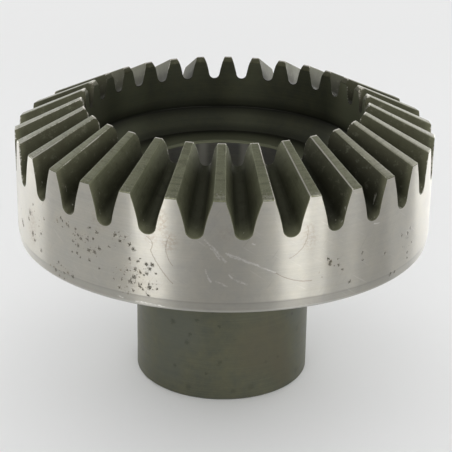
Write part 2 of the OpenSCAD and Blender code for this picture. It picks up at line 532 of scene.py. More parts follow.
class NodeSheet:
    """A node tree being laid out, with short calls for the nodes that the finishes use."""

    def __init__(self, tree: bpy.types.NodeTree) -> None:
        """Keeps the tree that the calls add to."""
        self.tree = tree

    def node(self, kind: str, **settings: Any) -> bpy.types.Node:
        """New node of a kind, with its settings applied."""
        node = self.tree.nodes.new(kind)
        for key, value in settings.items():
            setattr(node, key, value)
        return node

    def put(self, socket: Socket, value: Value) -> None:
        """Links a socket into another, or sets its plain value."""
        if isinstance(value, bpy.types.NodeSocket):
            self.tree.links.new(value, socket)
        else:
            socket.default_value = value

    def math(self, operation: str, *values: Value, clamp: bool = False) -> Socket:
        """Result of a Math node."""
        node = self.node("ShaderNodeMath", operation=operation, use_clamp=clamp)
        for socket, value in zip(node.inputs, values):
            self.put(socket, value)
        return node.outputs[0]

    def plus(self, a: Value, b: Value) -> Socket:
        """Sum of two values."""
        return self.math("ADD", a, b)

    def minus(self, a: Value, b: Value) -> Socket:
        """The first value less the second."""
        return self.math("SUBTRACT", a, b)

    def times(self, a: Value, b: Value) -> Socket:
        """Product of two values."""
        return self.math("MULTIPLY", a, b)

    def times_add(self, a: Value, b: Value, c: Value, clamp: bool = False) -> Socket:
        """Product of two values plus a third."""
        return self.math("MULTIPLY_ADD", a, b, c, clamp=clamp)

    def over(self, a: Value, b: Value, clamp: bool = False) -> Socket:
        """The first value over the second."""
        return self.math("DIVIDE", a, b, clamp=clamp)

    def larger(self, a: Value, b: Value) -> Socket:
        """The larger of two values."""
        return self.math("MAXIMUM", a, b)

    def vector(self, x: Value, y: Value, z: Value = 0.0) -> Socket:
        """Vector from three values."""
        node = self.node("ShaderNodeCombineXYZ")
        for socket, value in zip(node.inputs, (x, y, z)):
            self.put(socket, value)
        return node.outputs[0]

    def split(self, vector: Value) -> tuple[Socket, Socket, Socket]:
        """The three values of a vector."""
        node = self.node("ShaderNodeSeparateXYZ")
        self.put(node.inputs[0], vector)
        return node.outputs[0], node.outputs[1], node.outputs[2]

    def along(self, operation: str, a: Value, b: Value) -> bpy.types.Node:
        """Vector Math node on two vectors."""
        node = self.node("ShaderNodeVectorMath", operation=operation)
        self.put(node.inputs[0], a)
        self.put(node.inputs[1], b)
        return node

    def smooth(
        self, value: Value, low: Value, high: Value, start: Value = 0.0, stop: Value = 1.0
    ) -> Socket:
        """Smooth step from start to stop while the value goes from low to high."""
        node = self.node("ShaderNodeMapRange", interpolation_type="SMOOTHSTEP")
        for socket, given in zip(node.inputs, (value, low, high, start, stop)):
            self.put(socket, given)
        return node.outputs[0]

    def mix(self, factor: Value, a: Value, b: Value) -> Socket:
        """Colour from a to b by a factor."""
        node = self.node("ShaderNodeMix", data_type="RGBA")
        for socket, given in zip((node.inputs[0], node.inputs[6], node.inputs[7]), (factor, a, b)):
            self.put(socket, (*given, 1.0) if isinstance(given, tuple) else given)
        return node.outputs[2]

    def lay(self, under: Value, mask: Value, share: float, colour: Colour) -> Socket:
        """Colour laid over another through a share of a mask."""
        return self.mix(self.times(mask, share), under, colour)

    def blend(self, factor: Value, a: Value, b: Value) -> Socket:
        """Value from a to b by a factor."""
        node = self.node("ShaderNodeMix", data_type="FLOAT")
        for socket, given in zip((node.inputs[0], node.inputs[2], node.inputs[3]), (factor, a, b)):
            self.put(socket, given)
        return node.outputs[0]

    def noise(
        self, place: Value, scale: Value, detail: float = 2.0, rough: float = 0.5
    ) -> bpy.types.Node:
        """Noise Texture node on a place."""
        node = self.node("ShaderNodeTexNoise", noise_dimensions="3D")
        self.put(node.inputs["Vector"], place)
        self.put(node.inputs["Scale"], scale)
        self.put(node.inputs["Detail"], detail)
        self.put(node.inputs["Roughness"], rough)
        return node

    def place(self, group: bpy.types.NodeTree, **inputs: Value) -> bpy.types.Node:
        """Group node of a shared effect, with its inputs by name."""
        node = self.node("ShaderNodeGroup", node_tree=group)
        for key, value in inputs.items():
            self.put(node.inputs[key], value)
        return node


class SharedEffects:
    """Node groups that several finishes use, each built once."""

    def __init__(self) -> None:
        """Builds the groups."""
        self.unroll = self.make_unroll()
        self.lines = self.make_lines()
        self.clouds = self.make_clouds()
        self.faint = self.make_faint()
        self.loosen = self.make_loosen()
        self.patch = self.make_patch()
        self.spot = self.make_spot()
        self.pits = self.make_pits()
        self.scratch = self.make_scratch()
        self.wear = self.make_wear()

    def start(
        self, name: str, inputs: dict[str, Any], outputs: tuple[str, ...]
    ) -> tuple[NodeSheet, bpy.types.Node, bpy.types.Node]:
        """Empty group with named sockets.

        Args:
            name: Name of the group.
            inputs: Default of each input; a tuple makes a vector input.
            outputs: Names of the value outputs; one that ends in "place" is a vector.

        Returns:
            The sheet to lay nodes on, the group's input node and its output node.
        """
        tree = bpy.data.node_groups.new(name, "ShaderNodeTree")
        for key, default in inputs.items():
            kind = "NodeSocketVector" if isinstance(default, tuple) else "NodeSocketFloat"
            socket = tree.interface.new_socket(key, in_out="INPUT", socket_type=kind)
            socket.default_value = default
        for key in outputs:
            kind = "NodeSocketVector" if key.endswith("place") else "NodeSocketFloat"
            tree.interface.new_socket(key, in_out="OUTPUT", socket_type=kind)
        sheet = NodeSheet(tree)
        return sheet, sheet.node("NodeGroupInput"), sheet.node("NodeGroupOutput")

    def make_unroll(self) -> bpy.types.NodeTree:
        """Place on the gear in millimetres, unrolled: path round the rim, height and radius."""
        keys = ("Rim place", "Solid place", "Radius", "Height")
        sheet, given, out = self.start("unrolled_place", {"Object": ORIGIN}, keys)
        to_mm = (1 / MM, 1 / MM, 1 / MM)
        solid = sheet.along("MULTIPLY", given.outputs["Object"], to_mm).outputs[0]
        x, y, z = sheet.split(solid)
        turn = sheet.math("ARCTAN2", x, sheet.times(y, -1.0))
        flat = sheet.vector(x, y)
        radius = sheet.along("LENGTH", flat, ORIGIN).outputs["Value"]
        rim = sheet.vector(sheet.times(turn, UNROLL_RADIUS), z)
        for key, value in zip(keys, (rim, solid, radius, z)):
            sheet.put(out.inputs[key], value)
        return sheet.tree

    def make_lines(self) -> bpy.types.NodeTree:
        """Fine lines that a turning tool leaves: noise drawn out along the cut."""
        sheet, given, out = self.start(
            "turning_lines", {"Across": 0.0, "Along": 0.0, "Pitch": 0.4, "Length": 60.0}, ("Value",)
        )
        across = sheet.over(given.outputs["Across"], given.outputs["Pitch"])
        along = sheet.over(given.outputs["Along"], given.outputs["Length"])
        fine = sheet.noise(sheet.vector(across, along), 1.0, detail=3.0, rough=0.7)
        sheet.put(out.inputs["Value"], fine.outputs[0])
        return sheet.tree

    def make_faint(self) -> bpy.types.NodeTree:
        """Faint scratches all one way: the crests of noise drawn out along a turned direction."""
        sheet, given, out = self.start("faint_scratches", {"Place": ORIGIN, "Turn": 0.5}, ("Mask",))
        turned = sheet.node("ShaderNodeVectorRotate", rotation_type="Z_AXIS")
        sheet.put(turned.inputs["Vector"], given.outputs["Place"])
        sheet.put(turned.inputs["Angle"], given.outputs["Turn"])
        drawn = sheet.along("MULTIPLY", turned.outputs[0], (0.09, 1.6, 0.0)).outputs[0]
        crests = sheet.noise(drawn, 1.0).outputs[0]
        sheet.put(out.inputs["Mask"], sheet.smooth(crests, 0.64, 0.76))
        return sheet.tree

    def make_clouds(self) -> bpy.types.NodeTree:
        """Soft blotches of oil and oxide, from two sizes of noise."""
        sheet, given, out = self.start(
            "soft_blotches", {"Place": ORIGIN, "Size": 20.0, "Contrast": 1.0}, ("Value",)
        )
        scale = sheet.over(1.0, given.outputs["Size"])
        place, contrast = given.outputs["Place"], given.outputs["Contrast"]
        broad = sheet.noise(place, scale, detail=3.0, rough=0.55).outputs[0]
        fine = sheet.noise(place, sheet.times(scale, 4.3), detail=3.0, rough=0.6).outputs[0]
        mixed = sheet.times_add(fine, 0.35, sheet.times(broad, 0.65))
        around = sheet.minus(mixed, 0.5)
        sheet.put(out.inputs["Value"], sheet.times_add(around, contrast, 0.5, clamp=True))
        return sheet.tree

    def make_loosen(self) -> bpy.types.NodeTree:
        """Noise that all marks of a finish share: places pushed about, crumbling and breaks."""
        keys = ("Loose place", "Ragged place", "Crumble", "Breaks")
        sheet, given, out = self.start("loosened_place", {"Place": ORIGIN}, keys)
        place = given.outputs["Place"]
        for key, scale, reach in (("Loose place", 0.45, 3.0), ("Ragged place", 1.0, 1.7)):
            stir = sheet.noise(place, scale, detail=3.0, rough=0.6).outputs["Color"]
            push = sheet.along("SUBTRACT", stir, (0.5, 0.5, 0.5))
            moved = sheet.along("MULTIPLY_ADD", push.outputs[0], (reach, reach, 0.0))
            sheet.put(moved.inputs[2], place)
            sheet.put(out.inputs[key], moved.outputs[0])
        for key, scale in (("Crumble", 2.7), ("Breaks", 0.9)):
            sheet.put(out.inputs[key], sheet.noise(place, scale, rough=0.7).outputs[0])
        return sheet.tree

    def hand_on(
        self, sheet: NodeSheet, given: bpy.types.Node, out: bpy.types.Node, mask: Socket
    ) -> None:
        """Puts out the mask, and the place for the next mark moved by next to nothing.

        The next mark then waits for this one, so that few values are held at a time and a finish
        can carry many marks.

        Args:
            sheet: The group's sheet.
            given: The group's input node.
            out: The group's output node.
            mask: The mask with this mark laid over the ones before.
        """
        sheet.put(out.inputs["Mask"], mask)
        next_to_nothing = (1e-6, 1e-6, 0.0)
        moved = sheet.along("MULTIPLY_ADD", sheet.vector(mask, mask), next_to_nothing)
        sheet.put(moved.inputs[2], given.outputs["Place"])
        sheet.put(out.inputs["Next place"], moved.outputs[0])

    def make_patch(self) -> bpy.types.NodeTree:
        """Soft oval patch: full in the middle and nothing at the rim of the oval."""
        sheet, given, out = self.start(
            "oval_patch",
            {
                "Place": ORIGIN,
                "Centre": ORIGIN,
                "Half": (10.0, 10.0, 1.0),
                "Share": 1.0,
                "Under": 0.0,
            },
            ("Mask", "Next place"),
        )
        away = sheet.along("SUBTRACT", given.outputs["Place"], given.outputs["Centre"]).outputs[0]
        scaled = sheet.along("DIVIDE", away, given.outputs["Half"]).outputs[0]
        reach = sheet.along("LENGTH", scaled, ORIGIN).outputs["Value"]
        mask = sheet.smooth(reach, 1.0, 0.35)
        whole = sheet.times_add(mask, given.outputs["Share"], given.outputs["Under"])
        self.hand_on(sheet, given, out, whole)
        return sheet.tree

    def make_spot(self) -> bpy.types.NodeTree:
        """One rust pit: a round spot on the ragged place, with a crumbling edge."""
        sheet, given, out = self.start(
            "rust_spot",
            {"Place": ORIGIN, "Crumble": 0.5, "Centre": ORIGIN, "Size": 0.8, "Under": 0.0},
            ("Mask", "Next place"),
        )
        place, centre = given.outputs["Place"], given.outputs["Centre"]
        far = sheet.along("DISTANCE", place, centre).outputs["Value"]
        share = sheet.over(far, given.outputs["Size"])
        ragged = sheet.times_add(sheet.minus(given.outputs["Crumble"], 0.5), 3.0, share)
        mask = sheet.smooth(ragged, 1.0, 0.45)
        self.hand_on(sheet, given, out, sheet.larger(mask, given.outputs["Under"]))
        return sheet.tree

    def make_pits(self) -> bpy.types.NodeTree:
        """Scattered rust pits: ragged spots in some cells of a pattern, by the share."""
        sheet, given, out = self.start(
            "rust_pits",
            {"Place": ORIGIN, "Crumble": 0.5, "Cell": 2.0, "Size": 0.5, "Share": 0.5},
            ("Mask", "Halo"),
        )
        cells = sheet.node("ShaderNodeTexVoronoi", voronoi_dimensions="2D", feature="F1")
        sheet.put(cells.inputs["Vector"], given.outputs["Place"])
        sheet.put(cells.inputs["Scale"], sheet.over(1.0, given.outputs["Cell"]))
        chance, spread, _ = sheet.split(cells.outputs["Color"])
        far = sheet.times(cells.outputs["Distance"], given.outputs["Cell"])
        crumble = sheet.minus(given.outputs["Crumble"], 0.45)
        far = sheet.times_add(sheet.times(crumble, given.outputs["Size"]), 1.7, far)
        rare = sheet.minus(1.0, given.outputs["Share"])
        there = sheet.smooth(chance, rare, sheet.plus(rare, 0.06))
        vary = sheet.times_add(sheet.times(spread, spread), 0.9, 0.25)
        size = sheet.times(sheet.times(vary, there), given.outputs["Size"])
        sheet.put(out.inputs["Mask"], sheet.smooth(far, size, sheet.times(size, 0.4)))
        wide, close = (sheet.times(size, by) for by in (2.2, 0.8))
        sheet.put(out.inputs["Halo"], sheet.smooth(far, wide, close))
        return sheet.tree

    def make_scratch(self) -> bpy.types.NodeTree:
        """Scratch along a bow: distance to a parabola between two points, broken up."""
        sheet, given, out = self.start(
            "single_scratch",
            {
                "Place": ORIGIN,
                "Loose place": ORIGIN,
                "Crumble": 0.5,
                "Breaks": 0.5,
                "Start": ORIGIN,
                "Stop": (1.0, 0.0, 0.0),
                "Width": 0.3,
                "Waver": 0.5,
                "Gaps": 0.3,
                "Bend": 0.0,
                "Under": 0.0,
            },
            ("Mask", "Next place"),
        )
        tight, start, width = (given.outputs[key] for key in ("Place", "Start", "Width"))
        push = sheet.along("SUBTRACT", given.outputs["Loose place"], tight).outputs[0]
        swing = sheet.node("ShaderNodeVectorMath", operation="SCALE")
        sheet.put(swing.inputs[0], push)
        sheet.put(swing.inputs["Scale"], given.outputs["Waver"])
        place = sheet.along("ADD", tight, swing.outputs[0]).outputs[0]
        run = sheet.along("SUBTRACT", given.outputs["Stop"], start).outputs[0]
        from_start = sheet.along("SUBTRACT", place, start).outputs[0]
        dot = sheet.along("DOT_PRODUCT", from_start, run).outputs["Value"]
        square = sheet.along("DOT_PRODUCT", run, run).outputs["Value"]
        share = sheet.over(dot, square, clamp=True)
        run_x, run_y, _ = sheet.split(run)
        bow = sheet.times(share, sheet.minus(4.0, sheet.times(share, 4.0)))
        bow = sheet.times(bow, given.outputs["Bend"])
        near_x = sheet.minus(sheet.times(run_x, share), sheet.times(run_y, bow))
        near_y = sheet.times_add(run_x, bow, sheet.times(run_y, share))
        gap = sheet.along("DISTANCE", from_start, sheet.vector(near_x, near_y)).outputs["Value"]
        rough = sheet.times(sheet.minus(given.outputs["Crumble"], 0.5), width)
        gap = sheet.times_add(rough, 1.8, gap)
        low, high = (sheet.plus(given.outputs["Gaps"], by) for by in (-0.12, 0.2))
        keep = sheet.smooth(given.outputs["Breaks"], low, high)
        line = sheet.smooth(gap, width, 0.0)
        mask = sheet.times(line, keep)
        self.hand_on(sheet, given, out, sheet.larger(mask, given.outputs["Under"]))
        return sheet.tree

    def make_wear(self) -> bpy.types.NodeTree:
        """Worn edge: bright within a width of the edge that noise makes wider and narrower."""
        sheet, given, out = self.start(
            "worn_edge",
            {"Gap": 10.0, "Place": ORIGIN, "Width": 0.3, "Share": 0.5},
            ("Mask",),
        )
        broad = sheet.noise(given.outputs["Place"], 0.12).outputs[0]
        fine = sheet.noise(given.outputs["Place"], 1.3, rough=0.6).outputs[0]
        mixed = sheet.times_add(fine, 0.45, sheet.times(broad, 0.55))
        low = sheet.minus(0.72, sheet.times(given.outputs["Share"], 0.5))
        amount = sheet.smooth(mixed, low, sheet.plus(low, 0.2))
        width = sheet.times(given.outputs["Width"], amount)
        near = sheet.smooth(given.outputs["Gap"], width, sheet.times(width, 0.4))
        sheet.put(out.inputs["Mask"], sheet.times(near, amount))
        return sheet.tree


@dataclass(frozen=True)
class RimSpot:
    """One rust pit on the unrolled rim: its place round and up, and its radius."""

    round_mm: float
    up_mm: float
    size: float


@dataclass(frozen=True)
class RimPatch:
    """Soft oval on the unrolled rim: place, half sizes round and up, and strength."""

    round_mm: float
    up_mm: float
    half_round: float
    half_up: float
    share: float


@dataclass(frozen=True)
class RimScratch:
    """Run of a scratch on the unrolled rim; the bend is its bow to the left over its length."""

    start: tuple[float, float]
    stop: tuple[float, float]
    width: float
    waver: float = 0.4
    gaps: float = 0.35
    bend: float = 0.0


@dataclass(frozen=True)
class RimMarks:
    """Marks of use on one part of the rim."""

    spots: tuple[RimSpot, ...] = ()
    patches: tuple[RimPatch, ...] = ()
    stains: tuple[RimPatch, ...] = ()
    light: tuple[RimScratch, ...] = ()
    dark: tuple[RimScratch, ...] = ()


def spots_at(*spots: tuple[float, float, float]) -> tuple[RimSpot, ...]:
    """Rust pits, each from its place round and up and its radius."""
    return tuple(RimSpot(*spot) for spot in spots)


def patches_at(*patches: tuple[float, float, float, float, float]) -> tuple[RimPatch, ...]:
    """Soft ovals, each from its place, its half sizes round and up and its strength."""
    return tuple(RimPatch(*patch) for patch in patches)


LEFT_MARKS = RimMarks(
    spots=spots_at(
        (-52.0, 77.5, 0.7), (-50.5, 76.5, 0.8), (-52.0, 73.5, 0.8), (-54.5, 74.5, 0.5),
        (-47.5, 77.0, 0.8), (-43.5, 80.5, 0.9), (-46.5, 81.5, 0.6), (-47.0, 73.0, 0.9),
        (-44.5, 73.0, 1.0), (-42.5, 75.0, 0.8), (-47.0, 69.5, 0.8), (-60.5, 81.0, 0.7),
        (-71.0, 77.5, 0.6), (-73.5, 71.0, 0.7), (-74.0, 64.5, 0.8), (-82.5, 76.0, 1.2),
        (-84.0, 73.0, 0.9), (-80.5, 68.5, 1.2), (-79.0, 66.5, 0.9), (-62.5, 64.0, 0.6),
        (-55.0, 61.0, 0.8), (-56.5, 79.5, 0.6), (-53.0, 79.5, 0.6), (-45.0, 78.0, 0.7),
        (-52.5, 70.5, 0.7), (-55.0, 70.5, 0.5), (-51.0, 69.5, 0.5), (-59.5, 80.5, 0.6),
        (-59.5, 61.0, 0.6), (-64.5, 60.5, 0.7), (-42.5, 67.5, 0.6), (-79.5, 80.0, 0.6),
        (-92.5, 68.5, 1.2),
    ),
    patches=patches_at(
        (-49.0, 76.0, 10.0, 8.0, 0.7), (-78.0, 72.0, 9.0, 10.0, 0.5),
        (-61.0, 61.0, 9.0, 4.0, 0.8), (-60.0, 80.0, 8.0, 4.0, 0.4),
        (-93.0, 70.0, 4.0, 6.0, 0.7),
    ),
    stains=patches_at(
        (-81.0, 71.0, 5.0, 10.0, 0.8), (-43.0, 85.0, 4.0, 5.0, 0.5),
    ),
)

MIDDLE_MARKS = RimMarks(
    spots=spots_at(
        (-36.0, 81.5, 0.8), (-32.0, 81.5, 0.6), (-34.0, 79.5, 0.7), (-29.0, 77.5, 0.8),
        (-30.5, 79.0, 0.7), (-27.5, 73.5, 0.6), (-28.5, 70.5, 0.8), (-29.0, 67.5, 0.8),
        (-30.5, 65.5, 0.9), (-27.0, 64.5, 0.7), (-23.5, 64.5, 0.8), (-34.5, 62.5, 0.8),
        (-22.3, 73.0, 0.8), (-24.5, 73.0, 0.7), (-23.3, 71.5, 0.8), (-24.2, 69.5, 0.7),
        (-38.5, 76.5, 0.7), (-30.5, 74.0, 0.6), (-31.5, 69.5, 0.5), (-33.5, 65.5, 0.5),
        (-29.5, 62.5, 0.6), (-25.8, 63.4, 0.5), (-21.0, 70.0, 0.5), (-24.0, 61.5, 0.6),
    ),
    patches=patches_at(
        (-34.0, 79.5, 5.5, 5.0, 0.6), (-29.0, 68.0, 7.0, 10.0, 0.85),
        (-25.0, 65.0, 7.0, 5.0, 0.8), (-34.0, 66.0, 4.0, 6.0, 0.5),
    ),
    stains=patches_at(
        (-19.5, 89.0, 3.5, 6.0, 0.8), (-16.5, 82.0, 4.0, 5.0, 0.7),
        (-22.9, 82.5, 3.0, 3.0, 0.6),
    ),
    light=(
        RimScratch((-28.6, 58.6), (-24.6, 58.3), 0.45, 0.5, 0.4),
        RimScratch((-24.2, 58.6), (-18.5, 58.2), 0.3, 0.5, 0.45),
        RimScratch((-35.5, 59.2), (-33.5, 58.8), 0.4, 0.4, 0.35),
    ),
    dark=(
        RimScratch((-24.3, 82.9), (-23.0, 78.3), 0.3, 0.2, 0.2, 0.27),
        RimScratch((-23.0, 78.4), (-15.3, 67.2), 0.26, 0.2, 0.24, -0.05),
        RimScratch((-16.4, 84.0), (-15.3, 73.6), 0.25, 0.15, 0.26, -0.16),
    ),
)

RIGHT_MARKS = RimMarks(
    spots=spots_at(
        (38.5, 72.0, 0.8), (42.0, 71.0, 0.6), (52.0, 73.0, 0.6), (70.0, 60.5, 0.8),
        (78.5, 63.0, 0.6), (79.5, 74.0, 0.7), (77.5, 72.8, 0.9), (73.5, 73.3, 0.7),
        (52.3, 70.4, 0.6), (63.5, 69.5, 0.7), (78.3, 65.2, 0.7), (43.7, 69.0, 0.6),
        (47.0, 63.5, 0.7), (67.5, 60.5, 0.9), (37.8, 74.0, 0.6),
    ),
    patches=patches_at(
        (39.0, 72.0, 8.0, 6.0, 0.3), (78.0, 69.0, 5.0, 8.0, 0.4),
    ),
    stains=patches_at(
        (30.5, 83.0, 4.0, 7.0, 0.5), (2.5, 86.0, 5.0, 4.0, 0.3),
    ),
    light=(
        RimScratch((-4.6, 83.6), (-0.5, 79.6), 0.5, 0.5, 0.46),
        RimScratch((-1.8, 80.4), (2.2, 76.2), 0.6, 0.5, 0.42),
        RimScratch((-2.8, 81.0), (0.6, 76.6), 0.3, 0.4, 0.4),
        RimScratch((2.4, 79.0), (6.5, 77.6), 0.5, 0.3, 0.36),
        RimScratch((2.9, 78.7), (3.9, 78.3), 0.75, 0.3, 0.1),
        RimScratch((3.5, 78.0), (10.5, 75.4), 0.42, 0.3, 0.4),
        RimScratch((6.0, 77.6), (13.0, 74.6), 0.5, 0.25, 0.35),
        RimScratch((11.0, 75.2), (19.0, 71.6), 0.38, 0.2, 0.38),
        RimScratch((-4.2, 72.8), (-3.2, 69.4), 0.42, 0.4, 0.44),
        RimScratch((-3.4, 69.8), (-2.6, 68.8), 0.6, 0.3, 0.3),
        RimScratch((-0.9, 69.0), (2.8, 67.4), 0.5, 0.5, 0.48),
        RimScratch((3.4, 71.4), (4.8, 69.8), 0.5, 0.3, 0.4),
        RimScratch((4.8, 69.8), (9.4, 68.0), 0.42, 0.4, 0.42),
        RimScratch((11.0, 82.4), (11.8, 82.0), 0.4, 0.2, 0.2),
        RimScratch((57.0, 82.5), (59.5, 82.1), 0.3, 0.2, 0.3),
    ),
    dark=(
        RimScratch((19.0, 71.4), (31.8, 67.1), 0.27, 0.1, 0.2, -0.08),
        RimScratch((29.7, 87.2), (23.6, 76.2), 0.25, 0.2, 0.28, 0.19),
    ),
)

REAR_MARKS = RimMarks(
    patches=patches_at(
        (150.0, 74.0, 14.0, 9.0, 0.6), (-155.0, 70.0, 14.0, 8.0, 0.7),
        (205.0, 70.0, 14.0, 9.0, 0.8), (-210.0, 78.0, 10.0, 6.0, 0.6),
    ),
    stains=patches_at((-180.0, 84.0, 6.0, 6.0, 0.6)),
    light=(
        RimScratch((168.0, 82.0), (183.0, 74.0), 0.45, 0.4, 0.42),
        RimScratch((-190.0, 70.0), (-178.0, 78.0), 0.45, 0.4, 0.42),
    ),
    dark=(RimScratch((222.0, 84.0), (216.0, 70.0), 0.24, 0.5, 0.25),),
)

HUB_SPOTS = spots_at(
    (-18.7, 29.8, 1.3), (-11.5, 26.2, 1.0), (-12.7, 22.6, 1.2), (-8.8, 32.4, 1.0),
    (-3.1, 36.2, 0.6), (-0.5, 30.7, 0.8), (0.1, 15.9, 1.0), (-5.1, 10.9, 0.7),
    (-17.8, 11.8, 0.8), (31.0, 30.2, 0.8),
)

HUB_COOL = patches_at(
    (-18.0, 27.0, 15.0, 14.0, 0.6), (-21.0, 11.0, 10.0, 10.0, 0.5),
    (33.0, 31.0, 7.0, 9.0, 0.55),
)

HUB_WARM = patches_at(
    (17.0, 21.0, 17.0, 17.0, 0.6), (27.0, 9.0, 9.0, 10.0, 0.5),
)


FinishStart = tuple[bpy.types.Material, NodeSheet, bpy.types.Node, bpy.types.Node]


@dataclass(frozen=True)
class Finish:
    """A finish of the steel: its main colour and how it takes the light."""

    name: str
    colour: Colour
    metallic: float
    roughness: float
    specular: float

    def start(self, effects: SharedEffects) -> FinishStart:
        """New material with its shader and the unrolled place.

        Args:
            effects: The shared node groups.

        Returns:
            The material, its sheet, its Principled shader and the unrolled place's group node.
        """
        material = bpy.data.materials.new(self.name)
        material.use_nodes = True
        sheet = NodeSheet(material.node_tree)
        shader = material.node_tree.nodes["Principled BSDF"]
        shader.inputs["Base Color"].default_value = (*self.colour, 1.0)
        shader.inputs["Metallic"].default_value = self.metallic
        shader.inputs["Roughness"].default_value = self.roughness
        shader.inputs["Specular IOR Level"].default_value = self.specular
        coords = sheet.node("ShaderNodeTexCoord")
        spot = sheet.place(effects.unroll, Object=coords.outputs["Object"])
        return material, sheet, shader, spot

    def tone(self, gain: float | Colour) -> Colour:
        """The main colour times a gain, the same for all its parts or one for each."""
        gains = gain if isinstance(gain, tuple) else (gain, gain, gain)
        return tuple(c * k for c, k in zip(self.colour, gains))

    def bump(
        self, sheet: NodeSheet, shader: bpy.types.Node, height: Value, strength: float
    ) -> None:
        """Feeds a height, as a share of the relief, into the shader's normal.

        Args:
            sheet: The material's sheet.
            shader: The material's shader.
            height: The height.
            strength: Strength of the bump.
        """
        node = sheet.node("ShaderNodeBump")
        node.inputs["Strength"].default_value = strength
        node.inputs["Distance"].default_value = RELIEF * MM
        sheet.put(node.inputs["Height"], height)
        sheet.put(shader.inputs["Normal"], node.outputs[0])

    def dot(self, spot: RimSpot, crumble: Socket) -> dict[str, Value]:
        """Inputs of the spot group for one pit."""
        return {"Centre": (spot.round_mm, spot.up_mm, 0.0), "Size": spot.size, "Crumble": crumble}

    def oval(self, patch: RimPatch) -> dict[str, Value]:
        """Inputs of the patch group for one patch."""
        return {
            "Centre": (patch.round_mm, patch.up_mm, 0.0),
            "Half": (patch.half_round, patch.half_up, 1.0),
            "Share": patch.share,
        }

    def chain(
        self,
        sheet: NodeSheet,
        group: bpy.types.NodeTree,
        place: Socket,
        marks: list[dict[str, Value]],
        under: Value,
    ) -> Value:
        """Lays marks of one kind over each other, each handing the place on to the next.

        Args:
            sheet: The material's sheet.
            group: The group that draws one mark.
            place: Unrolled place.
            marks: Inputs of the group for each mark.
            under: Mask that the first mark is laid over.

        Returns:
            Mask of all the marks.
        """
        for mark in marks:
            node = sheet.place(group, Place=place, Under=under, **mark)
            place, under = node.outputs["Next place"], node.outputs["Mask"]
        return under


